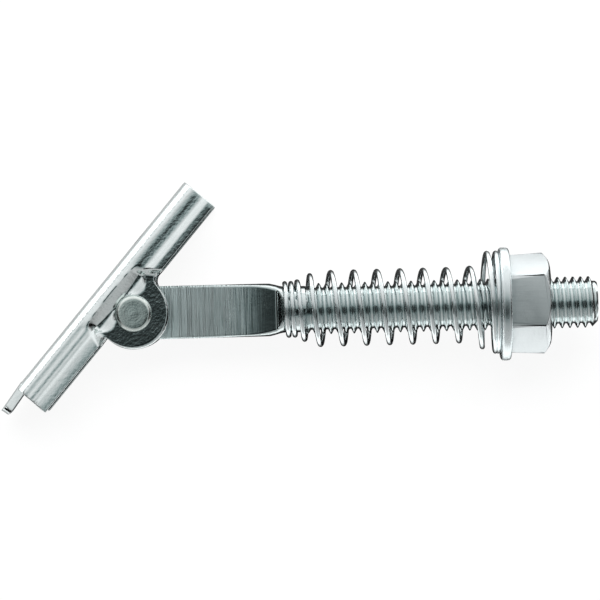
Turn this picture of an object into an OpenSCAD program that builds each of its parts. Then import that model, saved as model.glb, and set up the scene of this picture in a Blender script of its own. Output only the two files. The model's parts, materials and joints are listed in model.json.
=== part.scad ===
// Spring toggle bolt. A threaded stud ends in a flattened blade with an eye, a toggle folded from sheet
// swings on a rivet through that eye, and a tapered spring holds a washer against the nut.
// The bolt lies on a flat surface, on the toggle's lips and the washer's rim. Lengths are in millimetres.

/* [Stud] */
// Outside diameter of the thread
thread_d = 10; // [9.6:0.1:10.4]
// Pitch of the right-hand thread
thread_pitch = 1.5; // [1:0.05:1.75]
// Diameter of the plain neck, the blank that the thread is rolled on
neck_d = 9; // [8.6:0.05:9.4]
// Length of the plain neck
neck_l = 3.9; // [3.6:0.1:6]
// Thread that stands out past the nut
free_thread_l = 9.2; // [4:0.1:30]

/* [Blade] */
// Width of the flattened blade
blade_w = 10.3; // [9.4:0.1:11]
// Thickness of the flattened blade
blade_t = 5; // [4:0.1:5.6]
// Distance from the pivot to the end of the flat
blade_l = 27.8; // [27.5:0.1:36]
// Distance from the pivot to where the blade's edges start to round off
blade_square_l = 14; // [12:0.5:20]
// Distance from the pivot to where the blade's edges are fully round
blade_round_l = 26; // [22:0.5:27]
// Length of the slope from the flat up to the neck
shoulder_l = 1.5; // [1:0.1:3]

/* [Toggle] */
// Length of the plain arm from the pivot
plain_arm_l = 26; // [23:0.1:27]
// Length of the arm with the tongue from the pivot, without the tongue
tongue_arm_l = 25.6; // [23:0.1:27]
// Angle between the stud and the toggle's plain arm
toggle_angle = 49.4; // [40:0.1:80]
// Thickness of the sheet
sheet_t = 1.6; // [1.2:0.05:1.8]
// Distance from the pivot to the toggle's back
back_reach = 8.55; // [8.3:0.05:9.4]
// Width over the rounded back
back_w = 10.4; // [10.2:0.1:11]
// Width of the flat along the middle of the back
back_flat_w = 1.2; // [0.8:0.1:2]
// Depth of the back's rounding
back_round_h = 3.45; // [2.8:0.05:3.8]
// Distance from the pivot line back to the lips' edges
lip_setback = 1; // [0.6:0.05:1.2]
// Width of the flat part of a lip
lip_flat_w = 1.35; // [1.1:0.05:1.6]
// Width of the slope between the back and a lip
lip_slope_w = 2.25; // [1.8:0.05:2.5]
// How far the lips stand out past the rounded back
lip_flare = 0.95; // [0.7:0.05:1.4]
// Distance from the pivot to the end of the lips on the plain arm
plain_lip_start = 10.3; // [10:0.1:14]
// Distance from the pivot to the end of the lips on the tongue arm
tongue_lip_start = 9.4; // [9.3:0.1:12]
// Length over which the sheet is pressed from a lip in to an ear
press_l = 2.2; // [1.8:0.1:2.4]
// Radius of the ears
ear_r = 7; // [6:0.1:7.1]
// Length of the tongue past the folded sheet
tongue_l = 5; // [3:0.1:6]
// Width of the tongue
tongue_w = 5.8; // [4:0.1:6.8]
// How far the tongue is set in from the toggle's back
tongue_set = 0.15; // [0.05:0.05:0.4]
// Slant of the tongue, in from the line of the back
tongue_slant = 6; // [0:1:10]

/* [Rivet] */
// Diameter of the rivet's shank
rivet_d = 5; // [4:0.1:6]
// Diameter of the rivet's heads
rivet_head_d = 7.2; // [6.8:0.1:7.6]
// Height of a rivet head
rivet_head_h = 1.2; // [1.1:0.05:1.4]
// Radius of the rounded rim of a rivet head
rivet_rim_r = 0.9; // [0.5:0.05:1]

/* [Spring] */
// Diameter of the wire
wire_d = 1; // [0.8:0.05:1.1]
// Length of the spring
spring_l = 42.2; // [34:0.1:60]
// Outside diameter of the open turns
spring_d = 15; // [14:0.1:17]
// Outside diameter of the wide turns at the washer
spring_end_d = 20.1; // [18:0.1:20.6]
// How far the wide turns lie off the stud's axis
spring_end_offset = 0.4; // [0:0.05:0.5]
// Number of open turns at full pitch
open_turns = 7; // [5:1:10]

/* [Washer] */
// Outside diameter of the washer
washer_d = 22; // [21.8:0.1:26]
// Diameter of the washer's hole
washer_hole_d = 10.5; // [10.4:0.05:11]
// Thickness of the washer
washer_t = 2; // [1.4:0.1:3]
// Rounding of the washer's rim
washer_rim_r = 0.5; // [0.1:0.05:0.6]

/* [Nut] */
// Width of the nut across its flats
nut_across_flats = 17; // [16.5:0.1:19]
// Height of the nut
nut_h = 7.8; // [6:0.1:10]
// Radius that the nut's corners are turned down to at the washer
nut_foot_r = 9.5; // [9.2:0.05:9.5]
// Radius of the round land on the nut's chamfered end
nut_land_r = 7.9; // [7.5:0.05:8.2]
// Slope of the nut's chamfer
nut_chamfer_angle = 33; // [25:1:50]
// Turn of the nut on the thread, from a flat that faces along the rivet
nut_angle = -3.8; // [-30:0.1:30]

/* [Hidden] */
$fn = 64;
// One overrun for every cut
overrun = 1;
// Radial running clearance of the nut on the thread, and of the rivet in the eye
running_gap = 0.05;
// Radial clearance of the rivet in the ears that it is headed against
rivet_seat_gap = 0.02;
// Room between the blade and each ear
ear_gap = 0.3;
// How far the first tight turn reaches back over the shoulder
spring_lap = 0.4;
// How far each face of an ear stands proud of the sheet that it grows from
ear_lap = 0.04;

// Thread, with its flat crests a small share of the pitch wide
thread_depth_share = 0.6134;
thread_depth = thread_depth_share * thread_pitch;
thread_crest_share = 0.16;
thread_r = thread_d / 2;
root_r = thread_r - thread_depth;

// Distances along the stud, from the pivot
neck_x = blade_l + shoulder_l;
thread_x = neck_x + neck_l;
spring_x = neck_x - spring_lap;
washer_x = spring_x + spring_l;
nut_x = washer_x + washer_t;
tip_x = nut_x + nut_h + free_thread_l;

// The toggle's own frame has the pivot at its origin, X along the plain arm and Y towards the back
back_flat_half = back_flat_w / 2;
back_round_w = back_w / 2 - back_flat_half;
bend_y = back_reach - back_round_h;
lip_y = lip_setback + lip_flat_w;
slope_y = lip_y + lip_slope_w;
ear_in_z = blade_t / 2 + ear_gap;
ear_out_z = ear_in_z + sheet_t;
lip_out_z = back_w / 2 + lip_flare;
// The ear's flat runs up past the rivet head, and a lens-shaped facet slopes from there to the back
head_room = 0.3;
ear_flat_y = rivet_head_d / 2 + head_room;
facet_rise = 0.75;
facet_half_l = 11;
// Rounding of the corners on the tongue and on the blade's edges
tongue_corner_share = 0.25;
blade_corner_share = 0.16;

// Spring, as turns counted from the shoulder. The radius changes a little before and after the rise.
tight_turns = 2;
taper_turns = 1.2;
widen_turns = 1.8;
flat_turns = 0.5;
lead_turns = 0.25;
turn_steps = 18;
wire_sides = 8;
tight_pitch_share = 1.2;
taper_pitch_share = 2.5;
widen_pitch_share = 2.3;
open_start = tight_turns + taper_turns;
open_end = open_start + open_turns;
widen_end = open_end + widen_turns;
all_turns = widen_end + flat_turns;
tight_r = neck_d / 2 + running_gap + wire_d / 2;
open_r = (spring_d - wire_d) / 2;
end_r = (spring_end_d - wire_d) / 2;
wire_rise = spring_l - wire_d;
tight_l = tight_turns * tight_pitch_share * wire_d;
taper_l = taper_turns * taper_pitch_share * wire_d;
widen_l = widen_turns * widen_pitch_share * wire_d;
rise_table = [[0, 0], [tight_turns, tight_l], [open_start, tight_l + taper_l],
    [open_end, wire_rise - widen_l], [widen_end, wire_rise], [all_turns, wire_rise]];
radius_table = [[0, tight_r], [tight_turns - lead_turns, tight_r], [open_start + lead_turns, open_r],
    [open_end - lead_turns, open_r], [open_end + 3 * lead_turns, end_r], [all_turns, end_r]];
offset_table = [[0, 0], [open_end, 0], [open_end + 3 * lead_turns, spring_end_offset],
    [all_turns, spring_end_offset]];

// Lean of the resting bolt about the toggle's long axis, so that its lips and the washer's rim both touch
washer_r = washer_d / 2;
rest_arm = (washer_x + washer_rim_r) * sin(toggle_angle) + lip_y;
rest_square = rest_arm ^ 2 - (washer_r * cos(toggle_angle)) ^ 2;
rest_slope = (sqrt((lip_out_z * rest_arm) ^ 2 + rest_square * (washer_r ^ 2 - lip_out_z ^ 2))
    - lip_out_z * rest_arm) / rest_square;
lean = atan(rest_slope);
rest_height = lip_out_z * cos(lean) + lip_y * sin(lean);

// Corners of the toggle and the stud that bound the plan of the resting bolt
function leaned(p) = [
    p[0] * cos(toggle_angle) - (p[1] * cos(lean) + p[2] * sin(lean)) * sin(toggle_angle),
    p[0] * sin(toggle_angle) + (p[1] * cos(lean) + p[2] * sin(lean)) * cos(toggle_angle)];
tongue_tip_x = -tongue_arm_l - tongue_l * cos(tongue_slant);
tongue_tip_y = back_reach - tongue_set - tongue_l * sin(tongue_slant);
plan_corners = [
    leaned([tongue_tip_x, tongue_tip_y, back_flat_half]),
    leaned([tongue_tip_x, tongue_tip_y - sheet_t, -back_flat_half]),
    leaned([plain_arm_l, back_reach, back_flat_half]),
    leaned([tip_x * cos(toggle_angle), -tip_x * sin(toggle_angle), -root_r])];
plan_mid = [for (i = [0:1]) (max([for (p = plan_corners) p[i]]) + min([for (p = plan_corners) p[i]])) / 2];

steel = [0.72, 0.76, 0.76];
dark_steel = [0.55, 0.6, 0.6];
bright_steel = [0.82, 0.86, 0.87];

// Places a piece modelled about the pivot, with the stud along X and the rivet along Z, as the bolt rests
module resting() {
    translate([-plan_mid[0], -plan_mid[1], rest_height])
        rotate(a = -lean, v = [cos(toggle_angle), sin(toggle_angle), 0])
            children();
}

// Turns a shape of revolution about Z so that it lies along the stud
module along_stud(x) {
    translate([x, 0, 0]) rotate([0, 90, 0]) children();
}

// A closed solid through rings of points that all have the same even count.
// An end is closed by strips between points that lie opposite each other, counted from the ring's start.
module loft(rings) {
    count = len(rings[0]);
    end = (len(rings) - 1) * count;
    sides = [for (a = [0:count:end - 1]) for (j = [0:count - 1])
        let (k = (j + 1) % count, b = a + count)
            each [[a + j, b + j, b + k], [a + j, b + k, a + k]]];
    cap = [for (j = [0:count / 2 - 2])
        let (across = count - 1 - j)
            each [[j, j + 1, across - 1], [j, across - 1, across]]];
    far_cap = [for (face = cap) [end + face[2], end + face[1], end + face[0]]];
    polyhedron(points = [for (ring = rings) each ring], faces = concat(sides, cap, far_cap));
}

// Smooth step from 0 to 1
function ease(t) = let (c = min(1, max(0, t))) c * c * (3 - 2 * c);
function mix(a, b, t) = a + (b - a) * t;

// Stud

// The rolled thread, wound step by step from the neck to the tip, where its ridge dies out into the core.
// Each step has a root point and both edges of the crest, and the next turn's root closes the ridge.
thread_steps = 14;
thread_neck_turns = 0.8;
thread_tip_turns = 0.3;
module thread() {
    first_x = (floor(thread_x / thread_pitch) + 1 / 2) * thread_pitch;
    last = floor(thread_steps * ((tip_x - first_x) / thread_pitch - 1));
    crest_half = thread_crest_share * thread_pitch / 2;
    neck_fade = thread_neck_turns * thread_steps;
    tip_fade = thread_tip_turns * thread_steps;
    function ridge_r(k) = mix(root_r, thread_r, min(1, k / neck_fade, (last - k) / tip_fade));
    function wound(k, x, r) = let (a = 360 * k / thread_steps)
        [first_x + thread_pitch * k / thread_steps + x, r * cos(a), r * sin(a)];
    function root(k) = k <= last ? 3 * k : 2 * last + 2 + k;
    points = concat(
        [for (k = [0:last]) each [wound(k, 0, root_r), wound(k, thread_pitch / 2 - crest_half, ridge_r(k)),
            wound(k, thread_pitch / 2 + crest_half, ridge_r(k))]],
        [for (k = [last + 1:last + thread_steps]) wound(k, 0, root_r)],
        [[first_x + thread_pitch / 2, 0, 0], wound(last, thread_pitch / 2, 0)]);
    start = len(points) - 2;
    end = len(points) - 1;
    ridge = [for (k = [0:last - 1])
        let (a = [root(k), 3 * k + 1, 3 * k + 2, root(k + thread_steps)],
            b = [root(k + 1), 3 * k + 4, 3 * k + 5, root(k + 1 + thread_steps)])
            for (j = [0:2]) each [[a[j], b[j + 1], b[j]], [a[j], a[j + 1], b[j + 1]]]];
    start_cap = concat(
        [for (k = [0:thread_steps - 1]) [start, root(k), root(k + 1)]],
        [[start, root(thread_steps), 2], [start, 2, 1], [start, 1, 0]]);
    end_cap = concat(
        [for (k = [last:last + thread_steps - 1]) [end, root(k + 1), root(k)]],
        [[end, 3 * last, 3 * last + 1], [end, 3 * last + 1, 3 * last + 2],
            [end, 3 * last + 2, root(last + thread_steps)]]);
    polyhedron(points = points, faces = concat(ridge, start_cap, end_cap));
}

// The core of the thread at the tip, and the neck that the thread runs out into
module thread_ends() {
    core_r = root_r + running_gap;
    along_stud(thread_x) cylinder(d = neck_d, h = thread_pitch);
    along_stud(tip_x - 3 * thread_pitch) cylinder(r = core_r, h = 3 * thread_pitch);
}

// The flat sides of the pressed end, seen along its width: parallel along the flat, then out to the neck
module pressed_profile() {
    rotate([90, 0, 0]) linear_extrude(2 * blade_w, center = true) polygon([
        [-blade_w, -blade_t / 2], [blade_l, -blade_t / 2], [neck_x, -neck_d / 2], [thread_x, -neck_d / 2],
        [thread_x, neck_d / 2], [neck_x, neck_d / 2], [blade_l, blade_t / 2], [-blade_w, blade_t / 2]]);
}

module blade_plan() {
    linear_extrude(blade_t, center = true) {
        circle(d = blade_w);
        translate([0, -blade_w / 2]) square([blade_square_l, blade_w]);
    }
}

// From square edges to the full round
module blade_run_out() {
    corner_r = blade_corner_share * blade_t;
    hull() {
        for (side = [-1, 1])
            translate([blade_square_l, side * (blade_w / 2 - corner_r), 0])
                cube([corner_r, 2 * corner_r, blade_t], center = true);
        along_stud(blade_round_l) cylinder(d = blade_w, h = corner_r, $fn = 32);
    }
}

// The round end of the blade, drawn in to the neck
module blade_round() {
    round_l = neck_x - blade_round_l;
    steps = 6;
    along_stud(blade_round_l) rotate_extrude() polygon(concat(
        [[0, 0]],
        [for (i = [0:steps]) [mix(blade_w, neck_d, ease(i / steps)) / 2, round_l * i / steps]],
        [[neck_d / 2, round_l + neck_l], [0, round_l + neck_l]]));
}

module stud() {
    color(steel) resting() difference() {
        union() {
            blade_plan();
            intersection() {
                pressed_profile();
                union() {
                    blade_run_out();
                    blade_round();
                }
            }
            thread_ends();
            thread();
        }
        cylinder(r = rivet_d / 2 + running_gap, h = blade_t + 2 * overrun, center = true);
    }
}

// Toggle

// Height of the bent sheet above the middle plane, at a depth inset into the sheet from its outer face
function bend_z(inset, y) =
    let (over = max(0, y - bend_y) / (back_round_h - inset))
    back_flat_half + (back_round_w - inset) * sqrt(max(0, 1 - over ^ 2));
function arm_z(inset, y) = bend_z(inset, y) + lip_flare * ease((slope_y - y) / lip_slope_w);
// The same face where it is pressed in to an ear by a share of the full press
function pressed_z(inset, x, y, ear_z, share) =
    let (facet_y = bend_y + facet_rise * max(0, 1 - (x / facet_half_l) ^ 2))
    mix(arm_z(inset, y), ear_z, share * ease((facet_y - y) / (facet_y - ear_flat_y)));

// Half of one face, from the middle of the back down to the edge of the sheet
bend_steps = 7;
wall_steps = 9;
function half_face(inset, x, ear_z, share) = concat(
    [for (i = [0:bend_steps - 1])
        let (a = 90 * i / bend_steps, y = bend_y + (back_round_h - inset) * cos(a))
            [y, i == 0 ? back_flat_half : pressed_z(inset, x, y, ear_z, share)]],
    [for (i = [0:wall_steps])
        let (y = mix(bend_y, lip_setback, i / wall_steps))
            [y, pressed_z(inset, x, y, ear_z, share)]]);
function flipped(points) = [for (i = [len(points) - 1:-1:0]) [points[i][0], -points[i][1]]];
function reversed(points) = [for (i = [len(points) - 1:-1:0]) points[i]];
function closed_section(outer, inner) =
    concat(flipped(outer), outer, reversed(inner), reversed(flipped(inner)));

// Closed section of the sheet, with its lips on the arms (share 0) and its ear roots at the pivot (share 1)
function sheet_section(x, share) = closed_section(
    half_face(0, x, ear_out_z - ear_lap, share), half_face(sheet_t, x, ear_in_z + ear_lap, share));

module arm(from, to) {
    translate([from, 0, 0]) rotate([90, 0, 90])
        linear_extrude(to - from) polygon(sheet_section(from, 0));
}

// The pressed middle, between the two arms
press_steps = 7;
facet_steps = 9;
module middle() {
    tongue_press_x = press_l - tongue_lip_start;
    plain_press_x = plain_lip_start - press_l;
    stations = concat(
        [for (i = [0:press_steps])
            [mix(-tongue_lip_start, tongue_press_x, i / press_steps), ease(i / press_steps)]],
        [for (i = [1:facet_steps - 1]) [mix(tongue_press_x, plain_press_x, i / facet_steps), 1]],
        [for (i = [0:press_steps])
            [mix(plain_press_x, plain_lip_start, i / press_steps), ease(1 - i / press_steps)]]);
    loft([for (at = stations) [for (p = sheet_section(at[0], at[1])) [at[0], p[0], p[1]]]]);
}

// An ear, flat on both sides, round below the pivot and straight from there up past the rivet head
module ear() {
    translate([0, 0, ear_in_z]) linear_extrude(sheet_t) {
        translate([-ear_r, 0]) square([2 * ear_r, ear_flat_y]);
        intersection() {
            circle(r = ear_r);
            translate([-ear_r, -ear_r]) square([2 * ear_r, ear_r]);
        }
    }
}

// A strip of the rounded back, left standing at the end of its arm
module tongue() {
    corner = tongue_corner_share * tongue_w;
    half_w = tongue_w / 2;
    back = closed_section([for (p = half_face(0, 0, 0, 0)) if (p[0] > bend_y) p],
        [for (p = half_face(sheet_t, 0, 0, 0)) if (p[0] > bend_y) p]);
    translate([-tongue_arm_l, back_reach, 0]) rotate([0, 0, tongue_slant])
        translate([0, -back_reach - tongue_set, 0]) intersection() {
            translate([-tongue_l, 0, 0]) rotate([90, 0, 90])
                linear_extrude(tongue_l + sheet_t) polygon(back);
            translate([0, back_reach + overrun, 0]) rotate([90, 0, 0])
                linear_extrude(back_reach) polygon([
                    [2 * sheet_t, -half_w], [2 * sheet_t, half_w],
                    [corner - tongue_l, half_w], [-tongue_l, half_w - corner],
                    [-tongue_l, corner - half_w], [corner - tongue_l, -half_w]]);
        }
}

module toggle() {
    color(bright_steel) resting() rotate([0, 0, toggle_angle]) difference() {
        union() {
            arm(-tongue_arm_l, -tongue_lip_start);
            middle();
            arm(plain_lip_start, plain_arm_l);
            ear();
            mirror([0, 0, 1]) ear();
            tongue();
        }
        cylinder(r = rivet_d / 2 + rivet_seat_gap, h = 2 * (ear_out_z + overrun), center = true);
    }
}

// Rivet

module rivet_half() {
    head_r = rivet_head_d / 2;
    rotate_extrude() {
        square([rivet_d / 2, ear_out_z + rivet_head_h - rivet_rim_r]);
        translate([0, ear_out_z]) square([head_r, rivet_head_h - rivet_rim_r]);
        translate([0, ear_out_z]) square([head_r - rivet_rim_r, rivet_head_h]);
        translate([head_r - rivet_rim_r, ear_out_z + rivet_head_h - rivet_rim_r]) intersection() {
            circle(r = rivet_rim_r);
            square(rivet_rim_r);
        }
    }
}

module rivet() {
    color(dark_steel) resting() {
        rivet_half();
        mirror([0, 0, 1]) rivet_half();
    }
}

// Spring

function wire_ring(turn) =
    let (rise = lookup(turn, rise_table), radius = lookup(turn, radius_table), angle = 360 * turn)
    [for (i = [0:wire_sides - 1])
        let (a = 360 * i / wire_sides, r = radius + wire_d / 2 * cos(a))
            [spring_x + wire_d / 2 + rise + wire_d / 2 * sin(a),
                lookup(turn, offset_table) + r * cos(angle),
                r * sin(angle)]];

module spring() {
    steps = round(all_turns * turn_steps);
    color(bright_steel) resting()
        loft([for (i = [0:steps]) wire_ring(all_turns * i / steps)]);
}

// Washer

module washer() {
    color(steel) resting() along_stud(washer_x) rotate_extrude() {
        translate([washer_hole_d / 2, 0]) square([(washer_d - washer_hole_d) / 2 - washer_rim_r, washer_t]);
        translate([washer_d / 2 - washer_rim_r, washer_rim_r])
            square([washer_rim_r, washer_t - 2 * washer_rim_r]);
        for (y = [washer_rim_r, washer_t - washer_rim_r])
            translate([washer_d / 2 - washer_rim_r, y]) circle(r = washer_rim_r);
    }
}

// Nut

nut_sides = 6;
module nut() {
    half_side_angle = 180 / nut_sides;
    corner_r = nut_across_flats / 2 / cos(half_side_angle);
    chamfer_h = (corner_r - nut_land_r) * tan(nut_chamfer_angle);
    bore_r = thread_d / 2 + running_gap;
    sink = thread_depth / 2;
    color(steel) resting() along_stud(nut_x) difference() {
        intersection() {
            rotate([0, 0, half_side_angle + nut_angle]) cylinder(r = corner_r, h = nut_h, $fn = nut_sides);
            rotate_extrude() polygon([
                [0, 0], [nut_foot_r, 0], [corner_r, nut_h - chamfer_h], [nut_land_r, nut_h], [0, nut_h]]);
        }
        translate([0, 0, -overrun]) cylinder(r = bore_r, h = nut_h + 2 * overrun);
        cylinder(r1 = bore_r + sink, r2 = bore_r, h = sink);
        translate([0, 0, nut_h - sink]) cylinder(r1 = bore_r, r2 = bore_r + sink, h = sink);
    }
}

stud();
toggle();
rivet();
spring();
washer();
nut();
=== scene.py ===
import json
import math

import bmesh
import bpy
from mathutils import Matrix, Vector


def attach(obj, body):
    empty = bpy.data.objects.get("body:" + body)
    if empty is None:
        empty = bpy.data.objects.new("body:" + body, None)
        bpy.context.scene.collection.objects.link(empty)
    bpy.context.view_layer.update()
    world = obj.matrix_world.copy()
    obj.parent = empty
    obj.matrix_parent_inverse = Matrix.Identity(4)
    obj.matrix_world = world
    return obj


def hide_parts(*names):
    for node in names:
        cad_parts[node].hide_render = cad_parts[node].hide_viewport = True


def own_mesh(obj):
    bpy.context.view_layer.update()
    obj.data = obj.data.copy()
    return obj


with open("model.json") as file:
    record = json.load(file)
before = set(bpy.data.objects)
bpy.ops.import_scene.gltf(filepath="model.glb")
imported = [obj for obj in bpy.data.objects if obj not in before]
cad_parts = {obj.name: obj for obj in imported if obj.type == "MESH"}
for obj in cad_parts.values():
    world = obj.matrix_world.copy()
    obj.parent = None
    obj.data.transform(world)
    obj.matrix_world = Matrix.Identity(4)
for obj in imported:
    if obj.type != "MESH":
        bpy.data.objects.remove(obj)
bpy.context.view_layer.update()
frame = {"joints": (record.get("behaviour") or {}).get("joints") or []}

# Stud. A steel rod with a rolled M10 thread, bright zinc plated. One end is pressed flat into a blade with
# an eye for the rivet, and the plain neck beside the blade is the blank that the thread is rolled on.

# Every piece is modelled in millimetres about the pivot, with X along the stud, Z along the rivet and Y to
# the side, and is then laid down where the bolt rests.
millimetre = 0.001
joints = {joint["name"]: joint for joint in frame["joints"]}
pivot = Vector(joints["toggle_pivot"]["pos_m"])
rivet_axis = Vector(joints["toggle_pivot"]["axis"]).normalized()
stud_axis = Vector(joints["washer_slide"]["axis"]).normalized()
side_axis = rivet_axis.cross(stud_axis)
bolt_axes = Matrix((stud_axis, side_axis, rivet_axis)).transposed()
bolt_place = Matrix.Translation(pivot) @ bolt_axes.to_4x4() @ Matrix.Scale(millimetre, 4)

thread_r = 5.0
thread_pitch = 1.5
depth_to_pitch = 0.6134
thread_depth = depth_to_pitch * thread_pitch
root_r = thread_r - thread_depth
neck_r = 4.5
blade_half_w = 5.15
blade_half_t = 2.5
blade_square_x = 14.0
blade_round_x = 26.0
blade_end_x = 27.8
neck_x = 29.3
thread_x = 33.2
tip_x = 90.1
eye_r = 2.55


def mix(a, b, t):
    """The value that is as far from a to b as t says."""
    return a + (b - a) * t


def share(value, at_0, at_1):
    """How far a value has come from one end to the other, from 0 to 1."""
    return min(1.0, max(0.0, (value - at_0) / (at_1 - at_0)))


def ease(t):
    """A share that starts and stops softly."""
    t = min(1.0, max(0.0, t))
    return t * t * (3 - 2 * t)


def pick(piece):
    """Makes one piece the only one that is selected."""
    bpy.ops.object.select_all(action="DESELECT")
    piece.select_set(True)
    bpy.context.view_layer.objects.active = piece


def named(name):
    """The object that an operator has just added, under its own name."""
    piece = bpy.context.object
    piece.name = name
    piece.data.name = name
    return piece


def drawn_line(name, points):
    """A line of edges through points, drawn by extruding one vertex along them."""
    bpy.ops.object.select_all(action="DESELECT")
    bpy.ops.mesh.primitive_plane_add(size=1)
    line = named(name)
    bpy.ops.object.mode_set(mode="EDIT")
    bpy.ops.mesh.merge(type="CENTER")
    bpy.ops.transform.translate(value=points[0])
    for here, there in zip(points, points[1:]):
        step = Vector(there) - Vector(here)
        bpy.ops.mesh.extrude_vertices_move(TRANSFORM_OT_translate={"value": step})
    bpy.ops.object.mode_set(mode="OBJECT")
    return line


def modified(piece, kind, **settings):
    """Adds one modifier to a piece and applies it."""
    pick(piece)
    modifier = piece.modifiers.new(kind.lower(), kind)
    for setting, value in settings.items():
        setattr(modifier, setting, value)
    bpy.ops.object.modifier_apply(modifier=modifier.name)


def cut(piece, tool, operation="DIFFERENCE"):
    """Cuts a piece with a tool that is then thrown away."""
    modified(piece, "BOOLEAN", object=tool, operation=operation, solver="EXACT")
    bpy.data.objects.remove(tool)


def joined(piece, *others):
    """Joins other meshes to a piece."""
    pick(piece)
    for other in others:
        other.select_set(True)
    bpy.ops.object.join()


def laid_down(piece, place, smooth_angle):
    """Smooths a finished piece and puts its place into its mesh."""
    pick(piece)
    bpy.ops.object.shade_smooth_by_angle(angle=math.radians(smooth_angle))
    piece.matrix_world = place
    bpy.ops.object.transform_apply(location=True, rotation=True, scale=True)


# The thread is one pitch of its outline, wound along the stud and cut off square at both ends.
crest_half = thread_pitch / 16
root_half = thread_pitch / 9
crest_round = 0.035
thread_steps = 40
thread_start_x = 20.5 * thread_pitch
thread_turns = math.ceil((tip_x - thread_start_x) / thread_pitch) + 1
pitch_outline = [
    (0.0, root_r),
    (root_half, root_r + crest_round),
    (thread_pitch / 2 - crest_half - crest_round, thread_r - crest_round),
    (thread_pitch / 2 - crest_half, thread_r),
    (thread_pitch / 2 + crest_half, thread_r),
    (thread_pitch / 2 + crest_half + crest_round, thread_r - crest_round),
    (thread_pitch - root_half, root_r + crest_round),
    (thread_pitch, root_r),
]
stud = drawn_line("stud", [(thread_start_x + x, r, 0) for x, r in pitch_outline])
modified(
    stud, "SCREW", axis="X", angle=math.tau, steps=thread_steps, render_steps=thread_steps,
    iterations=thread_turns, screw_offset=thread_pitch, use_merge_vertices=True, merge_threshold=0.001,
)
bpy.ops.object.mode_set(mode="EDIT")
for end_x, end_way in ((thread_x, -1), (tip_x, 1)):
    bpy.ops.mesh.select_all(action="SELECT")
    bpy.ops.mesh.bisect(
        plane_co=(end_x, 0, 0), plane_no=(end_way, 0, 0), clear_outer=True, use_fill=True, threshold=0.0001,
    )
bpy.ops.mesh.select_all(action="SELECT")
bpy.ops.mesh.normals_make_consistent(inside=False)
bpy.ops.object.mode_set(mode="OBJECT")

# The thread runs out at the neck, and its free end is chamfered.
run_out = 1.2
run_out_gap = 0.01
chamfer_past_root = 0.25
chamfer = thread_depth + chamfer_past_root
for vertex in stud.data.vertices:
    x, y, z = vertex.co
    r = math.hypot(y, z)
    if r < root_r / 2:
        continue
    full = mix(neck_r - run_out_gap, r, ease((x - thread_x) / run_out))
    limit = thread_r - max(0.0, x - (tip_x - chamfer))
    scale = min(full, limit) / r
    vertex.co = (x, y * scale, z * scale)

# The blade starts as the round neck. Its end is extruded step by step and pressed to the section there.
side_steps = 14
flat_marks = (0.95, 0.5, 0.0, -0.5, -0.95)
blade_corner = 0.45
blade_narrow_x = 22.0
fillet_half = 0.3
blade_bow = 0.3
neck_overlap = 0.05
bend_stations = 6
flat_stations = 12
eye_stations = 7
eye_turn = math.radians(88)


def blade_section(x):
    """Half width, height of the flats, half width of the flats, and height of the rounding beside them."""
    half_w = math.sqrt(blade_half_w ** 2 - min(0.0, x) ** 2)
    half_w = mix(half_w, neck_r, ease((x - blade_round_x) / (neck_x - blade_round_x)))
    flat = blade_half_t - blade_bow * ((blade_end_x - min(x, blade_end_x)) / blade_end_x) ** 2
    climb = (neck_r - blade_half_t) / (neck_x - blade_end_x)
    past = x - blade_end_x
    if abs(past) < fillet_half:
        flat += climb * (past + fillet_half) ** 2 / (4 * fillet_half)
    elif past > 0:
        flat += climb * past
    flat = min(flat, half_w)
    corner = min(blade_corner, half_w / 2)
    narrowing = share(x, blade_narrow_x, blade_end_x) ** 2
    flat_half_w = mix(half_w - corner, math.sqrt(max(0.0, neck_r ** 2 - flat ** 2)), narrowing)
    rounding = mix(corner, flat, ease((x - blade_square_x) / (blade_end_x - blade_square_x)))
    return half_w, flat, flat_half_w, rounding


def blade_ring(x):
    """Points round the section at x, from the middle of one side to the middle of the same side again."""
    half_w, flat, flat_half_w, rounding = blade_section(x)
    quarter = []
    for i in range(side_steps // 2 + 1):
        a = math.pi / 2 * i / (side_steps // 2)
        y = flat_half_w + (half_w - flat_half_w) * math.cos(a)
        z = (flat - rounding) * min(1, i) + rounding * math.sin(a)
        quarter.append((y, z))
    half = quarter + [(flat_half_w * mark, flat) for mark in flat_marks]
    half += [(-y, z) for y, z in reversed(quarter)]
    return half + [(y, -z) for y, z in reversed(half[1:-1])]


def press_ring(mesh, x):
    """Moves the selected ring of vertices to the blade's section at x."""
    ring = [v for v in mesh.verts if v.select]
    ring.sort(key=lambda v: math.atan2(v.co.z, v.co.y) % math.tau)
    for vertex, (y, z) in zip(ring, blade_ring(x)):
        vertex.co = (x, y, z)


bpy.ops.object.select_all(action="DESELECT")
bpy.ops.mesh.primitive_circle_add(vertices=len(blade_ring(0)), radius=neck_r, rotation=(0, math.pi / 2, 0))
blade = named("blade")
bpy.ops.object.transform_apply(location=True, rotation=True, scale=True)
bpy.ops.object.mode_set(mode="EDIT")
blade_mesh = bmesh.from_edit_mesh(blade.data)
fillet_from_x = blade_end_x + fillet_half
fillet_to_x = blade_end_x - fillet_half
stations = [thread_x + neck_overlap]
stations += [mix(neck_x, fillet_from_x, i / bend_stations) for i in range(bend_stations)]
stations += [mix(fillet_from_x, fillet_to_x, i / bend_stations) for i in range(bend_stations + 1)]
stations += [mix(fillet_to_x, blade_square_x, i / flat_stations) for i in range(1, flat_stations + 1)]
stations += [mix(blade_square_x, 0.0, i / bend_stations) for i in range(1, bend_stations + 1)]
stations += [-blade_half_w * math.sin(eye_turn * i / eye_stations) for i in range(1, eye_stations + 1)]
press_ring(blade_mesh, stations[0])
bpy.ops.mesh.edge_face_add()
for x in stations[1:]:
    bpy.ops.mesh.extrude_region_move()
    press_ring(blade_mesh, x)
bmesh.update_edit_mesh(blade.data)
bpy.ops.mesh.select_all(action="SELECT")
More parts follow.
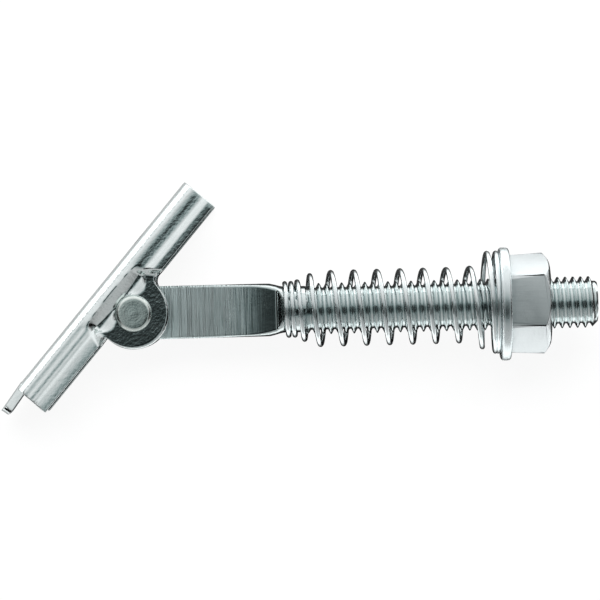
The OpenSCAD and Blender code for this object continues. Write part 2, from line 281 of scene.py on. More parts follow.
bpy.ops.mesh.normals_make_consistent(inside=False)
bpy.ops.object.mode_set(mode="OBJECT")
bpy.ops.object.select_all(action="DESELECT")
bpy.ops.mesh.primitive_cylinder_add(vertices=48, radius=eye_r, depth=4 * blade_half_t)
cut(blade, named("eye"))
joined(stud, blade)


def calculated(tree, operation, *values):
    """A calculation in a node tree, from numbers and the outputs of other nodes."""
    node = tree.nodes.new("ShaderNodeMath")
    node.operation = operation
    for socket, value in zip(node.inputs, values):
        if isinstance(value, (int, float)):
            socket.default_value = value
        else:
            tree.links.new(value, socket)
    return node.outputs["Value"]


def ranged(tree, value, from_min, from_max, to_min=0.0, to_max=1.0, interpolation="LINEAR"):
    """A value in a node tree, moved from one range to another and kept inside it."""
    node = tree.nodes.new("ShaderNodeMapRange")
    node.interpolation_type = interpolation
    node.inputs["From Min"].default_value = from_min
    node.inputs["From Max"].default_value = from_max
    node.inputs["To Min"].default_value = to_min
    node.inputs["To Max"].default_value = to_max
    tree.links.new(value, node.inputs["Value"])
    return node.outputs["Result"]


def plated(name, place, tint, shade, roughness, mottle, brush, depth, dullness=0.0, fade=None, streak=0.45,
           worn=0.0, turned=False):
    """Bright zinc plate in clouds of two colours, tint and shade, pitted as deep as mottle, in millimetres.
    Brush is how closely fine lines follow each other along the piece's own axes, depth how deep they are,
    streak their share in the colours, dullness how much they blur the shine, worn how far they lighten the
    plate, and fade where they die out along X. On a turned piece the lines are rings about Z."""
    material = bpy.data.materials.new(name)
    material.use_nodes = True
    tree = material.node_tree
    nodes = tree.nodes
    link = tree.links.new
    shader = nodes["Principled BSDF"]
    shader.inputs["Metallic"].default_value = 1.0
    where = nodes.new("ShaderNodeTexCoord")
    own = nodes.new("ShaderNodeMapping")
    own.vector_type = "TEXTURE"
    own.inputs["Location"].default_value = place.to_translation()
    own.inputs["Rotation"].default_value = place.to_euler()
    own.inputs["Scale"].default_value = place.to_scale()
    link(where.outputs["Object"], own.inputs["Vector"])

    cloud = nodes.new("ShaderNodeTexNoise")
    cloud.inputs["Scale"].default_value = 0.35
    cloud.inputs["Detail"].default_value = 4.0
    link(own.outputs["Vector"], cloud.inputs["Vector"])
    if turned:
        lines = nodes.new("ShaderNodeTexWave")
        lines.wave_type = "RINGS"
        lines.rings_direction = "Z"
        lines.inputs["Scale"].default_value = brush[0]
        lines.inputs["Distortion"].default_value = 1.0
        link(own.outputs["Vector"], lines.inputs["Vector"])
    else:
        stretch = nodes.new("ShaderNodeMapping")
        stretch.inputs["Scale"].default_value = brush
        link(own.outputs["Vector"], stretch.inputs["Vector"])
        lines = nodes.new("ShaderNodeTexNoise")
        lines.inputs["Scale"].default_value = 1.0
        lines.inputs["Detail"].default_value = 2.0
        link(stretch.outputs["Vector"], lines.inputs["Vector"])
    pits = nodes.new("ShaderNodeTexNoise")
    pits.inputs["Scale"].default_value = 1.6
    pits.inputs["Detail"].default_value = 2.0
    link(own.outputs["Vector"], pits.inputs["Vector"])

    streaks = nodes.new("ShaderNodeMix")
    streaks.inputs["Factor"].default_value = streak
    link(cloud.outputs["Fac"], streaks.inputs["A"])
    link(lines.outputs["Fac"], streaks.inputs["B"])
    shade_at = 0.3
    tint_at = 0.7
    colour = nodes.new("ShaderNodeValToRGB")
    colour.color_ramp.elements[0].position = shade_at
    colour.color_ramp.elements[0].color = (*shade, 1)
    colour.color_ramp.elements[1].position = tint_at
    colour.color_ramp.elements[1].color = (*tint, 1)
    link(streaks.outputs["Result"], colour.inputs["Fac"])
    gloss_swing = 0.3
    gloss = ranged(tree, streaks.outputs["Result"], shade_at, tint_at,
                   roughness * (1 - gloss_swing), roughness * (1 + gloss_swing))

    axes = nodes.new("ShaderNodeSeparateXYZ")
    link(own.outputs["Vector"], axes.inputs["Vector"])
    fade_from, fade_to = fade or (0, 1)
    brushed = ranged(tree, axes.outputs["X"], fade_from, fade_to, 1.0, 0.0 if fade else 1.0)
    worn_colour = (0.88, 1.0, 1.0)
    lighter = nodes.new("ShaderNodeMix")
    lighter.data_type = "RGBA"
    lighter.inputs["B"].default_value = (*worn_colour, 1)
    link(calculated(tree, "MULTIPLY", brushed, worn), lighter.inputs["Factor"])
    link(colour.outputs["Color"], lighter.inputs["A"])
    link(lighter.outputs["Result"], shader.inputs["Base Color"])
    link(calculated(tree, "MULTIPLY_ADD", brushed, dullness, gloss), shader.inputs["Roughness"])
    cutting = nodes.new("ShaderNodeBump")
    cutting.inputs["Distance"].default_value = depth * millimetre
    link(brushed, cutting.inputs["Strength"])
    link(lines.outputs["Fac"], cutting.inputs["Height"])
    pitting = nodes.new("ShaderNodeBump")
    pitting.inputs["Strength"].default_value = 1.0
    pitting.inputs["Distance"].default_value = mottle * millimetre
    link(pits.outputs["Fac"], pitting.inputs["Height"])
    link(cutting.outputs["Normal"], pitting.inputs["Normal"])
    link(pitting.outputs["Normal"], shader.inputs["Normal"])
    return material


stud.data.materials.append(plated(
    "stud_zinc", bolt_place, tint=(0.75, 0.8, 0.8), shade=(0.63, 0.7, 0.7), roughness=0.1, mottle=0.01,
    brush=(2.6, 0.04, 0.04), depth=0.8, dullness=0.42, fade=(5, 27.5), worn=1.0,
))
laid_down(stud, bolt_place, smooth_angle=40)
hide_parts("stud")
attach(stud, "bolt")

# Toggle. One piece of sheet steel, folded to a rounded back, pressed in at the middle to two round ears for
# the rivet and out along both arms to lips, with a tongue left standing at one end. It is zinc plated after
# pressing.
toggle_angle = 49.4
toggle_place = bolt_place @ Matrix.Rotation(math.radians(toggle_angle), 4, "Z")
sheet_t = 1.6
plain_end_x = 26.0
tongue_end_x = 25.6
back_reach = 8.55
back_round_h = 3.45
back_round_w = 4.6
back_flat_half = 0.6
bend_y = back_reach - back_round_h
lip_edge_y = 1.0

# How fast a wall comes out on its way down, at heights above the pivot line. These slopes hold the flutes.
plain_slopes = [
    (1.0, -0.03), (1.6, 0.03), (2.2, 0.06), (2.4, 0.28), (2.6, 0.5), (3.0, 0.5), (3.4, 0.62), (3.6, 0.52),
    (3.8, 0.28), (4.2, 0.1), (4.4, 0.06), (4.6, 0.09), (5.0, 0.0), (5.4, 0.06), (5.8, 0.15), (6.2, 0.28),
    (6.5, 0.5), (6.9, 0.82),
]
tongue_slopes = [
    (1.0, 0.1), (1.8, 0.12), (2.4, 0.22), (3.0, 0.27), (3.2, 0.34), (3.6, 0.64), (3.8, 0.36), (4.0, 0.22),
    (4.4, 0.35), (4.6, 0.18), (4.8, 0.1), (5.0, 0.18), (5.4, 0.48), (5.8, 0.27), (6.2, 0.15), (6.4, 0.2),
    (6.9, 0.82),
]
facet_slopes = [(5.0, 0.0), (5.6, 0.1), (5.9, 0.4), (6.5, 0.5), (6.9, 0.82)]
plain_wall_x = 3.0
tongue_wall_x = -6.0
plain_lip_x = 10.3
tongue_lip_x = 9.4
press_l = 2.2
tongue_press_l = 2.6
press_slant = 0.65
tongue_press_slant = 0.2
press_top_y = 3.7
ear_r = 7.0
ear_out_z = 4.4
ear_in_z = ear_out_z - sheet_t
facet_foot_y = 3.45
facet_foot_rise = 0.55
facet_foot_half_l = 6.3
facet_foot_power = 1.5
facet_rise = 0.8
facet_half_l = 10.0
pocket_x = 4.6
pocket_half_l = 3.4
pocket_end_l = 1.6
pocket_low_y = 3.15
pocket_foot_y = 1.3
pocket_foot_rise = 0.25
pocket_least_h = 0.3
pocket_depth = 0.62


def press_at(x, y):
    """How far the sheet is pressed in, from 0 on the arms to 1 at the ears, with slanted ends."""
    above = min(max(y, lip_edge_y), press_top_y) - lip_edge_y
    plain = ease(share(x + press_slant * above, plain_lip_x, plain_lip_x - press_l))
    return plain * ease(share(tongue_press_slant * above - x, tongue_lip_x, tongue_lip_x - tongue_press_l))


def flared(slopes, y):
    """How far a wall has come out between the round back and a height of y, by its slopes."""
    out = 0.0
    for (low_y, low), (high_y, high) in zip(slopes, slopes[1:]):
        from_y = min(high_y, max(low_y, y))
        out += (mix(low, high, (from_y - low_y) / (high_y - low_y)) + high) / 2 * (high_y - from_y)
    return out


def sheet_z(x, y):
    """Height of the sheet's outer face above the toggle's middle plane."""
    over = max(plain_slopes[-1][0], y) - bend_y
    z = back_flat_half + back_round_w * math.sqrt(max(0.0, 1 - (over / back_round_h) ** 2))
    facet_y = bend_y + facet_rise * max(0.0, 1 - (x / facet_half_l) ** 2)
    to_tongue = ease(share(x, plain_wall_x, tongue_wall_x))
    arm = mix(flared(plain_slopes, y), flared(tongue_slopes, y), to_tongue)
    z += mix(arm, flared(facet_slopes, max(y, facet_y)), press_at(x, y))
    foot_y = facet_foot_y + facet_foot_rise * min(1.0, abs(x) / facet_foot_half_l) ** facet_foot_power
    aside = abs(x) - pocket_x
    pocket_from_y = min(pocket_foot_y + pocket_foot_rise * aside ** 2, pocket_low_y - pocket_least_h)
    pocket = share(y, pocket_from_y, pocket_low_y)
    pocket *= ease(share(aside, pocket_half_l, pocket_half_l - pocket_end_l))
    return mix(z, ear_out_z - pocket_depth * pocket, press_at(x, y) * share(y, facet_y, foot_y))


# The sheet's edge runs from the lips round the ears, with a fillet on each side.
tongue_fillet_r = 0.5
plain_fillet_r = 2.0


def fillet_edge(radius, steps):
    """Points of the fillet from a lip's edge to an ear, and the turn about the pivot where they meet."""
    middle_y = lip_edge_y - radius
    middle = Vector((math.sqrt((ear_r + radius) ** 2 - middle_y ** 2), middle_y))
    last = math.atan2(-middle.y, -middle.x) % math.tau
    turns = [mix(math.pi / 2, last, i / steps) for i in range(steps + 1)]
    points = [(middle.x + radius * math.cos(a), middle.y + radius * math.sin(a)) for a in turns]
    return points, last - math.pi


tongue_fillet, tongue_turn = fillet_edge(tongue_fillet_r, steps=4)
plain_fillet, plain_turn = fillet_edge(plain_fillet_r, steps=9)
ear_steps = 60
ear_turns = [mix(-math.pi - tongue_turn, plain_turn, i / ear_steps) for i in range(1, ear_steps)]
ear_edge = [(-x, y) for x, y in tongue_fillet]
ear_edge += [(ear_r * math.cos(a), ear_r * math.sin(a)) for a in ear_turns]
ear_edge += reversed(plain_fillet)

# Columns of the blank along its length: where each starts on the back, and where its edge is.
arm_steps = 14
press_steps = 12
columns = []
for i in range(arm_steps):
    x = mix(-tongue_end_x, -tongue_lip_x, i / arm_steps)
    columns.append((x, x, lip_edge_y))
for i in range(press_steps):
    x = mix(-tongue_lip_x, ear_edge[0][0], i / press_steps)
    columns.append((x, x, lip_edge_y))
for i, (edge_x, edge_y) in enumerate(ear_edge):
    columns.append((mix(ear_edge[0][0], ear_edge[-1][0], i / (len(ear_edge) - 1)), edge_x, edge_y))
for i in range(1, press_steps):
    x = mix(ear_edge[-1][0], plain_lip_x, i / press_steps)
    columns.append((x, x, lip_edge_y))
for i in range(arm_steps + 1):
    x = mix(plain_lip_x, plain_end_x, i / arm_steps)
    columns.append((x, x, lip_edge_y))

web_steps = 2
bend_steps = 30
wall_steps = 44
half_rows = web_steps + bend_steps + wall_steps
row_power = 1.25
arm_rim_w = 0.25
ear_rim_w = 0.95


def sheet_point(column, row):
    """A point on the outer face, for a row counted from the middle of the back to the sheet's edge."""
    x, edge_x, edge_y = column
    side = math.copysign(1, row)
    row = abs(row)
    if row <= web_steps:
        return Vector((x, back_reach, side * back_flat_half * row / web_steps))
    if row <= web_steps + bend_steps:
        a = math.pi / 2 * (row - web_steps) / bend_steps
        y = bend_y + back_round_h * math.cos(a)
        return Vector((x, y, side * sheet_z(x, y)))
    down = 1.0
    if row < half_rows:
        rim = mix(arm_rim_w, ear_rim_w, press_at(x, edge_y)) / (bend_y - edge_y)
        down = (1 - rim) * ((row - web_steps - bend_steps) / (wall_steps - 1)) ** row_power
    y = mix(bend_y, edge_y, down)
    across = mix(x, edge_x, down)
    return Vector((across, y, side * sheet_z(across, y)))


outer_face = [[sheet_point(column, row) for row in range(-half_rows, half_rows + 1)] for column in columns]
last_row = 2 * half_rows
last_column = len(columns) - 1
rim_steps = 4
arm_rim_r = 0.15
ear_rim_r = 0.75
rim_fill = 0.8
least_rim_r = 0.02


def outward(row):
    """The way that the sheet faces at a row, but for what is pressed into it."""
    a = math.pi / 2 * share(abs(row), web_steps, web_steps + bend_steps)
    z = math.copysign(back_round_h * math.sin(a), row)
    return Vector((0, back_round_w * math.cos(a), z)).normalized()


def sheet_loop(i, shift, inset):
    """The closed section of the sheet at a column, with rounded rims, moved along X by a shift and made
    thinner by an inset."""
    step = Vector((shift, 0, 0))
    faces = [(outer_face[i][j] + step, outward(j - half_rows)) for j in range(last_row + 1)]
    outside = [p - n * inset for p, n in faces]
    inside = [p - n * (sheet_t - inset) for p, n in faces]
    for point in inside:
        if point.y < bend_y and abs(point.z) < ear_in_z:
            point.z = math.copysign(ear_in_z, point.z)
    rims = []
    for at, beside in ((last_row, last_row - 1), (0, 1)):
        n = faces[at][1]
        edge = faces[at][0] - faces[beside][0]
        edge -= n * edge.dot(n)
        radius = mix(arm_rim_r, ear_rim_r, press_at(columns[i][0], lip_edge_y))
        radius = max(least_rim_r, min(radius, rim_fill * edge.length) - inset)
        edge.normalize()
        rim = []
        for face, turn in ((outside[at], 0), (inside[at], 1)):
            heart = face - edge * (radius + inset) - n * radius * (1 - 2 * turn)
            for k in range(rim_steps + 1):
                a = math.pi / 2 * (turn + k / rim_steps)
                rim.append(heart + (n * math.cos(a) + edge * math.sin(a)) * radius)
        rims.append(rim)
    return outside[1:-1] + rims[0] + inside[-2:0:-1] + rims[1][::-1]


end_r = 0.22
end_turns = [math.radians(degrees) for degrees in (90, 60, 30, 0)]
rivet_hole_r = 2.52


def end_loop(i, way, a):
    """A section on the rounded end of an arm."""
    return sheet_loop(i, way * end_r * (1 - math.sin(a)), end_r * (1 - math.cos(a)))


loops = [end_loop(0, 1, a) for a in end_turns]
loops += [sheet_loop(i, 0, 0) for i in range(1, last_column)]
loops += [end_loop(last_column, -1, a) for a in reversed(end_turns)]
loop_count = len(loops[0])
bpy.ops.object.select_all(action="DESELECT")
bpy.ops.mesh.primitive_grid_add(x_subdivisions=len(loops) - 1, y_subdivisions=loop_count, size=1)
toggle = named("toggle")
for vertex in toggle.data.vertices:
    loop = loops[round((vertex.co.x + 0.5) * (len(loops) - 1))]
    vertex.co = loop[round((vertex.co.y + 0.5) * loop_count) % loop_count]
pick(toggle)
bpy.ops.object.mode_set(mode="EDIT")
bpy.ops.mesh.select_all(action="SELECT")
bpy.ops.mesh.remove_doubles(threshold=0.0005)
bpy.ops.mesh.select_all(action="SELECT")
bpy.ops.mesh.fill_holes(sides=0)
bpy.ops.mesh.select_all(action="SELECT")
bpy.ops.mesh.normals_make_consistent(inside=False)
bpy.ops.object.mode_set(mode="OBJECT")
bpy.ops.object.select_all(action="DESELECT")
bpy.ops.mesh.primitive_cylinder_add(vertices=48, radius=rivet_hole_r, depth=4 * back_reach)
cut(toggle, named("rivet_hole"))

# The tongue is a strip of the rounded back, left standing at the end of its arm and bent in a little. Its
# sheared edge leans out on one side.
tongue_l = 5.3
tongue_half_w = 2.65
tongue_spread = 0.34
tongue_corner = 1.45
tongue_spacing = 0.7
tongue_slant = math.tan(math.radians(4.5))
tongue_root = 1.4
tongue_columns = 14
tongue_rows = 12


def tongue_y(reach, z):
    """Height of the tongue's outer face, at a reach past the end of the arm."""
    over = max(0.0, abs(z) - back_flat_half) / back_round_w
    return bend_y + back_round_h * math.sqrt(1 - over ** 2) - tongue_slant * reach


bpy.ops.object.select_all(action="DESELECT")
bpy.ops.mesh.primitive_grid_add(x_subdivisions=tongue_columns, y_subdivisions=tongue_rows, size=1)
tongue = named("tongue")
for vertex in tongue.data.vertices:
    reach = mix(-tongue_root, tongue_l, (0.5 - vertex.co.x) ** tongue_spacing)
    to_corner = max(0.0, reach - tongue_l + tongue_corner)
    half_w = tongue_half_w - tongue_corner + math.sqrt(max(0.0, tongue_corner ** 2 - to_corner ** 2))
    z = 2 * half_w * vertex.co.y
    vertex.co = (-tongue_end_x - reach, tongue_y(reach, z), z)
pick(tongue)
bpy.ops.object.mode_set(mode="EDIT")
bpy.ops.mesh.select_all(action="SELECT")
bpy.ops.mesh.flip_normals()
bpy.ops.object.mode_set(mode="OBJECT")
modified(tongue, "SOLIDIFY", thickness=sheet_t, offset=-1, use_even_offset=True)
for vertex in tongue.data.vertices:
    depth = tongue_y(-tongue_end_x - vertex.co.x, vertex.co.z) - vertex.co.y
    if vertex.co.z > 0:
        vertex.co.z *= 1 + tongue_spread * depth
modified(tongue, "BEVEL", width=end_r, segments=3, limit_method="ANGLE", angle_limit=math.radians(50))
joined(toggle, tongue)

toggle.data.materials.append(plated(
    "toggle_zinc", toggle_place, tint=(0.86, 0.9, 0.9), shade=(0.74, 0.8, 0.8), roughness=0.13, mottle=0.04,
    brush=(0.15, 1.6, 1.6), depth=0.006,
))
laid_down(toggle, toggle_place, smooth_angle=35)
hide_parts("toggle")
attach(toggle, "toggle_bar")

# Rivet. A steel pin through the ears and the eye, which it holds together with a head at each end. The
# heads have a turned face and a rounded rim and sit a little askew. It is zinc plated like the rest.
rivet_r = 2.5
rivet_head_r = 3.6
rivet_head_h = 1.2
rivet_rim_r = 0.95
rivet_skew = math.tan(math.radians(6.5))
rivet_skew_z = ear_out_z + 0.1
rivet_top = ear_out_z + rivet_head_h
rivet_steps = 64
dome_drops = [(0.0, 0.0), (0.9, 0.015), (1.8, 0.06)]


def spun(name, points, steps, axis):
    """A round piece, spun about an axis from one half of its outline."""
    piece = drawn_line(name, points)
    bpy.ops.object.mode_set(mode="EDIT")
    bpy.ops.mesh.select_all(action="SELECT")
    bpy.ops.mesh.spin(steps=steps, angle=math.tau, center=(0, 0, 0), axis=axis)
    bpy.ops.mesh.select_all(action="SELECT")
    bpy.ops.mesh.remove_doubles(threshold=0.001)
    bpy.ops.mesh.normals_make_consistent(inside=False)
    bpy.ops.object.mode_set(mode="OBJECT")
    return piece


head_outline = [(r, rivet_top - drop) for r, drop in dome_drops]
head_outline += [
    (rivet_head_r - rivet_rim_r + rivet_rim_r * math.sin(math.radians(a)),
     rivet_top - rivet_rim_r + rivet_rim_r * math.cos(math.radians(a)))
    for a in range(0, 91, 15)
]
head_outline += [(rivet_head_r, ear_out_z), (rivet_r, ear_out_z), (rivet_r, 0.0)]
rivet_outline = [(r, 0, z) for r, z in head_outline] + [(r, 0, -z) for r, z in reversed(head_outline[:-1])]
rivet = spun("rivet", rivet_outline, rivet_steps, axis=(0, 0, 1))
for vertex in rivet.data.vertices:
    if abs(vertex.co.z) > rivet_skew_z:
        vertex.co.z += rivet_skew * (vertex.co.x - rivet_head_r)
rivet.data.materials.append(plated(
    "rivet_zinc", bolt_place, tint=(0.9, 0.95, 0.92), shade=(0.76, 0.83, 0.8), roughness=0.2, mottle=0.03,
    brush=(0.6, 0.6, 0.6), depth=0.003, dullness=0.04, streak=0.08, turned=True,
))
laid_down(rivet, bolt_place, smooth_angle=40)
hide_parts("rivet")
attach(rivet, "toggle_bar")

# Spring. One drawn steel wire, zinc plated: two tight turns grip the neck, open turns run along the thread,
# and the last turns widen to lie against the washer.
wire_r = 0.5
spring_x = 28.9
rise_marks = [(0, 0), (2, 2.4), (3.2, 5.4), (10.5, 38.2), (11.5, 40.7), (12, 41.2), (12.5, 41.2)]
radius_marks = [(0, 5.05), (1.75, 5.05), (3.45, 7.0), (9.95, 7.0), (10.95, 9.55), (12.5, 9.55)]
aside_marks = [(0, 0), (10.2, 0), (10.95, 0.4), (12.5, 0.4)]
wire_steps = 48


def along(marks, turn):
    """The value at a turn, with straight runs between the marks."""
    for (from_turn, before), (to_turn, after) in zip(marks, marks[1:]):
        if turn <= to_turn:
            return mix(before, after, (turn - from_turn) / (to_turn - from_turn))
    return marks[-1][1]


wire = bpy.data.curves.new("spring", "CURVE")
wire.dimensions = "3D"
wire.bevel_depth = wire_r
wire.bevel_resolution = 4
wire.use_fill_caps = True
wire_pieces = round(rise_marks[-1][0] * wire_steps)
winding = wire.splines.new("POLY")
winding.points.add(wire_pieces)
for i, point in enumerate(winding.points):
    turn = i / wire_steps
    r = along(radius_marks, turn)
    y = along(aside_marks, turn) + r * math.cos(math.tau * turn)
    point.co = (spring_x + wire_r + along(rise_marks, turn), y, r * math.sin(math.tau * turn), 1)
spring = bpy.data.objects.new("spring", wire)
bpy.context.collection.objects.link(spring)
pick(spring)
bpy.ops.object.convert(target="MESH")
spring = named("spring")
spring.data.materials.append(plated(
    "spring_zinc", bolt_place, tint=(0.88, 0.92, 0.92), shade=(0.78, 0.84, 0.85), roughness=0.17,
    mottle=0.006, brush=(0.8, 0.8, 0.8), depth=0.004,
))
laid_down(spring, bolt_place, smooth_angle=60)
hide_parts("spring")
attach(spring, "bolt")
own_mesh(spring)

# Washer. A flat ring stamped from sheet steel and zinc plated, with a rounded rim and a plain hole. It is
# loose on the thread, where the spring holds it against the nut.
washer_x = 71.1
washer_t = 2.0
washer_r = 11.0
washer_hole_r = 5.25
washer_rim_r = 0.6
hole_edge = 0.15
round_steps = 96
near_face = [(hole_edge, washer_hole_r), (0.0, washer_hole_r + hole_edge)]
for degrees in range(0, 91, 18):
    a = math.radians(degrees)
    near_face.append((washer_rim_r * (1 - math.cos(a)), washer_r - washer_rim_r * (1 - math.sin(a))))
far_face = [(washer_t - x, r) for x, r in reversed(near_face)]
washer_outline = near_face + far_face + near_face[:1]
washer = spun("washer", [(washer_x + x, r, 0) for x, r in washer_outline], round_steps, axis=(1, 0, 0))
washer.data.materials.append(plated(
    "washer_zinc", bolt_place, tint=(0.84, 0.89, 0.9), shade=(0.72, 0.79, 0.8), roughness=0.29,
    mottle=0.012, brush=(2.0, 0.3, 0.3), depth=0.006,
))
laid_down(washer, bolt_place, smooth_angle=40)
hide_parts("washer")
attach(washer, "loose_washer")

# Nut. A hexagon cut from drawn steel bar and zinc plated, screwed on against the washer. Its outer end is
# turned down to a round land, and its corners taper a little to the end at the washer.
nut_x = 73.1
nut_h = 7.8
nut_half_flats = 8.5
nut_corner_r = nut_half_flats / math.cos(math.pi / 6)
nut_foot_r = 9.5
nut_land_r = 7.9
nut_turn = math.radians(-3.8)
nut_slope = math.tan(math.radians(33))
nut_edge_r = 0.18
land_edge_h = 0.3
land_edge_w = 0.62
turned_h = 0.75
bore_r = thread_r + 0.05
bore_sink = 0.5
nut_end_x = nut_x + nut_h
tool_start_x = nut_x - 1
tool_end_x = nut_end_x + 1
bpy.ops.object.select_all(action="DESELECT")
bpy.ops.mesh.primitive_cylinder_add(vertices=6, radius=nut_corner_r, depth=nut_h)
nut = named("nut")
stand_up = Matrix.Rotation(math.pi / 2, 4, "Y")
nut.matrix_world = (
    Matrix.Translation((nut_x + nut_h / 2, 0, 0)) @ stand_up @ Matrix.Rotation(nut_turn, 4, "Z")
)
bpy.ops.object.transform_apply(location=True, rotation=True, scale=True)
blank_outline = [
    (tool_start_x, 0.0),
    (tool_start_x, nut_foot_r),
    (nut_x, nut_foot_r),
    (nut_end_x - (nut_corner_r - nut_land_r) * nut_slope, nut_corner_r),
    (nut_end_x - land_edge_h, nut_land_r + land_edge_w),
    (nut_end_x, nut_land_r),
    (nut_end_x, 0.0),
]
bore_outline = [
    (tool_start_x, 0.0),
    (tool_start_x, bore_r + bore_sink),
    (nut_x, bore_r + bore_sink),
    (nut_x + bore_sink, bore_r),
    (nut_end_x - bore_sink, bore_r),
    (nut_end_x, bore_r + bore_sink),
    (tool_end_x, bore_r + bore_sink),
    (tool_end_x, 0.0),
]
for tool, outline, operation in (
    ("blank", blank_outline, "INTERSECT"), ("bore", bore_outline, "DIFFERENCE"),
):
    cut(nut, spun(tool, [(x, r, 0) for x, r in outline], round_steps, axis=(1, 0, 0)), operation)
modified(nut, "BEVEL", width=nut_edge_r, segments=3, limit_method="ANGLE", angle_limit=math.radians(25),
         use_clamp_overlap=False)
nut.data.materials.append(plated(
    "nut_zinc", bolt_place, tint=(0.77, 0.81, 0.82), shade=(0.7, 0.74, 0.75), roughness=0.2, mottle=0.01,
    brush=(0.25, 7.0, 7.0), depth=0.012, dullness=0.22,
    fade=(nut_end_x - turned_h, nut_end_x - land_edge_h),
))
laid_down(nut, bolt_place, smooth_angle=30)
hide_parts("nut")
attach(nut, "screwed_nut")

# Floor. A plain white table that takes the bolt's soft shadow. Under the stud and the toggle it also bears
# a painted shadow, near black to every ray but the camera's, so that the plate mirrors it dark there and
# white farther off.
floor_size = 6.0
bpy.ops.object.select_all(action="DESELECT")
bpy.ops.mesh.primitive_plane_add(size=floor_size)
floor = named("floor")
white = bpy.data.materials.new("floor_white_painted_shadow")
white.use_nodes = True
floor_tree = white.node_tree
floor_nodes = floor_tree.nodes
floor_link = floor_tree.links.new
paint = floor_nodes["Principled BSDF"]
paint.inputs["Roughness"].default_value = 0.8
paint.inputs["Specular IOR Level"].default_value = 0.0
glow = floor_nodes.new("ShaderNodeEmission")
glow_share = 0.92
seen = floor_nodes.new("ShaderNodeLightPath").outputs["Is Camera Ray"]
floor_mix = floor_nodes.new("ShaderNodeMixShader")
floor_link(calculated(floor_tree, "MULTIPLY", seen, glow_share), floor_mix.inputs["Fac"])
floor_link(paint.outputs["BSDF"], floor_mix.inputs[1])
floor_link(glow.outputs["Emission"], floor_mix.inputs[2])
floor_link(floor_mix.outputs["Shader"], floor_nodes["Material Output"].inputs["Surface"])
ground = floor_nodes.new("ShaderNodeTexCoord")


def painted_shadow_zone(turn, middle, half_l, half_w, fade, low):
    """A painted shadow: low on a turned rectangle of the floor and 1 outside it, with a soft edge."""
    local = floor_nodes.new("ShaderNodeMapping")
    local.vector_type = "TEXTURE"
    local.inputs["Location"].default_value = (middle.x, middle.y, 0)
    local.inputs["Rotation"].default_value = (0, 0, turn)
    floor_link(ground.outputs["Object"], local.inputs["Vector"])
    sides = floor_nodes.new("ShaderNodeSeparateXYZ")
    floor_link(local.outputs["Vector"], sides.inputs["Vector"])
    outside = []
    for side, half in (("X", half_l), ("Y", half_w)):
        distance = calculated(floor_tree, "ABSOLUTE", sides.outputs[side])
        edge_from = half * millimetre
        edge_to = (half + fade) * millimetre
        outside.append(ranged(floor_tree, distance, edge_from, edge_to, low, interpolation="SMOOTHSTEP"))
    return calculated(floor_tree, "MAXIMUM", *outside)


stud_middle = bolt_place @ Vector((103, 0, 0))
toggle_middle = toggle_place @ Vector((-8, 2, 0))
toggle_turn = math.radians(toggle_angle)
# How far each point of the floor lies outside the painted shadows under the stud and the toggle.
outside_painted_shadow = calculated(
    floor_tree, "MINIMUM", painted_shadow_zone(0, stud_middle, half_l=100, half_w=12.5, fade=12, low=0.0),
    painted_shadow_zone(toggle_turn, toggle_middle, half_l=42, half_w=13, fade=7, low=0.35),
)
table = floor_nodes.new("ShaderNodeMix")
table.data_type = "RGBA"
# The painted shadow's near-black colour, which every ray but the camera's sees inside the zones.
table.inputs["A"].default_value = (0.03, 0.03, 0.03, 1)
table.inputs["B"].default_value = (0.92, 0.92, 0.92, 1)
floor_link(calculated(floor_tree, "MAXIMUM", outside_painted_shadow, seen), table.inputs["Factor"])
floor_link(table.outputs["Result"], paint.inputs["Base Color"])
floor.data.materials.append(white)

# Studio. Pale walls all round and a dark hood about the camera, as the plate mirrors them. They dim to one
# side and towards both ends of the stud, with a dark strip at each end. A soft lamp shines from above.
world = bpy.data.worlds.new("studio")
bpy.context.scene.world = world
world.use_nodes = True
sky_tree = world.node_tree
sky = sky_tree.nodes
sky_link = sky_tree.links.new
way = sky.new("ShaderNodeTexCoord")


def toward(axis):
    """How far the way that a ray goes points along an axis."""
    node = sky.new("ShaderNodeVectorMath")
    node.operation = "DOT_PRODUCT"
    node.inputs[1].default_value = axis
    sky_link(way.outputs["Generated"], node.inputs[0])
    return node.outputs["Value"]


# How light the walls are, by degrees from the middle of the hood. Where they are dark, they lack some red.
hood_tilt = math.radians(12)
hood_axis = rivet_axis * math.cos(hood_tilt) - side_axis * math.sin(hood_tilt)
wall_levels = [
    (0, 0.01), (8, 0.012), (13, 0.035), (17, 0.11), (20, 0.23), (24, 0.36), (30, 0.5), (40, 0.66),
    (53, 0.8), (67, 0.95), (83, 1.05), (120, 1.0),
]
last_degrees = wall_levels[-1][0]
dark_red = 0.78
light_red = 0.99
dark_level = 0.2
light_level = 0.7
off_hood = calculated(sky_tree, "ARCCOSINE", toward(hood_axis))
walls = sky.new("ShaderNodeValToRGB")
ramp = walls.color_ramp
while len(ramp.elements) < len(wall_levels):
    ramp.elements.new(0.5)
for element, (degrees, level) in zip(ramp.elements, wall_levels):
    element.position = degrees / last_degrees
    red = level * mix(dark_red, light_red, share(level, dark_level, light_level))
    element.color = (red, level, level, 1)
sky_link(ranged(sky_tree, off_hood, 0.0, math.radians(last_degrees)), walls.inputs["Fac"])

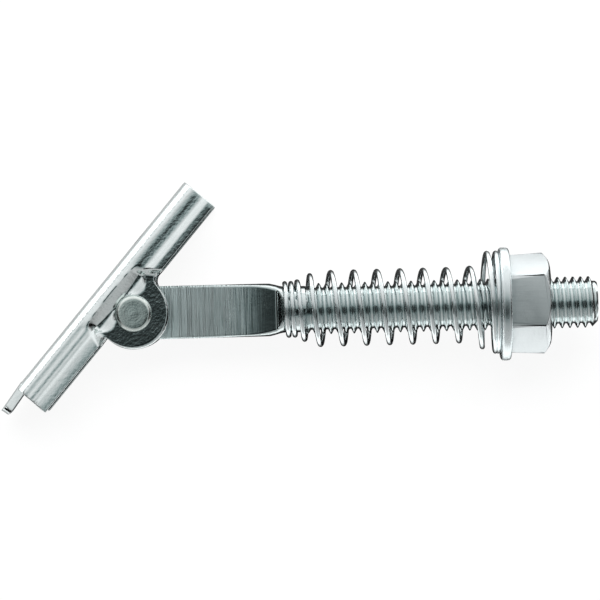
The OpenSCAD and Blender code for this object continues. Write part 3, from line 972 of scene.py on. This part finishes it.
# Along each axis the walls go from dim to bright. The strip is dark where both of its parts are.
dims = [
    ranged(sky_tree, toward(side_axis), -0.8, 0.2, 0.6),
    ranged(sky_tree, toward(stud_axis), 0.9, 0.6, 0.12),
    ranged(sky_tree, toward(stud_axis), -0.95, -0.7, 0.05),
]
strip_shift = 0.17
beside_strip = calculated(sky_tree, "ABSOLUTE", calculated(sky_tree, "ADD", toward(side_axis), strip_shift))
along_strip = calculated(sky_tree, "ABSOLUTE", toward(stud_axis))
dims.append(calculated(
    sky_tree, "MAXIMUM", ranged(sky_tree, beside_strip, 0.2, 0.32),
    ranged(sky_tree, along_strip, 0.45, 0.7, 1.0, 0.0),
))
dim_levels = dims[0]
for dim in dims[1:]:
    dim_levels = calculated(sky_tree, "MULTIPLY", dim_levels, dim)
dimmed = sky.new("ShaderNodeMix")
dimmed.data_type = "RGBA"
dimmed.blend_type = "MULTIPLY"
dimmed.inputs["Factor"].default_value = 1.0
sky_link(walls.outputs["Color"], dimmed.inputs["A"])
sky_link(dim_levels, dimmed.inputs["B"])
sky_rays = sky.new("ShaderNodeLightPath")
backdrop = sky.new("ShaderNodeMix")
backdrop.data_type = "RGBA"
backdrop.inputs["B"].default_value = (1, 1, 1, 1)
sky_link(sky_rays.outputs["Is Camera Ray"], backdrop.inputs["Factor"])
sky_link(dimmed.outputs["Result"], backdrop.inputs["A"])
sky_link(backdrop.outputs["Result"], sky["Background"].inputs["Color"])

lamp_data = bpy.data.lights.new("softbox", "AREA")
lamp_data.shape = "RECTANGLE"
lamp_data.size = 0.9
lamp_data.size_y = 0.5
lamp_data.energy = 12.0
lamp = bpy.data.objects.new("softbox", lamp_data)
bpy.context.collection.objects.link(lamp)
lamp.location = (-0.1, 0.5, 0.6)
lamp.visible_glossy = False
lamp.rotation_euler = (-lamp.location).to_track_quat("-Z", "Y").to_euler()

# Camera. It looks straight along the rivet from far off, so the picture has hardly any perspective, and it
# is turned so that the stud rises a little to the right.
camera_distance = 700.0
pixels_per_mm = 5.135
image_size = 600
stud_rise = math.radians(1.45)
centre_right = 32.27
centre_up = 2.59
right = stud_axis * math.cos(stud_rise) - side_axis * math.sin(stud_rise)
up = stud_axis * math.sin(stud_rise) + side_axis * math.cos(stud_rise)
view_centre = pivot + (right * centre_right + up * centre_up) * millimetre
camera_data = bpy.data.cameras.new("camera")
camera_data.angle = 2 * math.atan(image_size / 2 / pixels_per_mm / camera_distance)
camera_data.clip_start = 0.01
camera = bpy.data.objects.new("camera", camera_data)
bpy.context.collection.objects.link(camera)
camera.matrix_world = (
    Matrix.Translation(view_centre + rivet_axis * camera_distance * millimetre)
    @ Matrix((right, up, rivet_axis)).transposed().to_4x4()
)
bpy.context.scene.camera = camera
bpy.context.scene.view_settings.view_transform = "Standard"
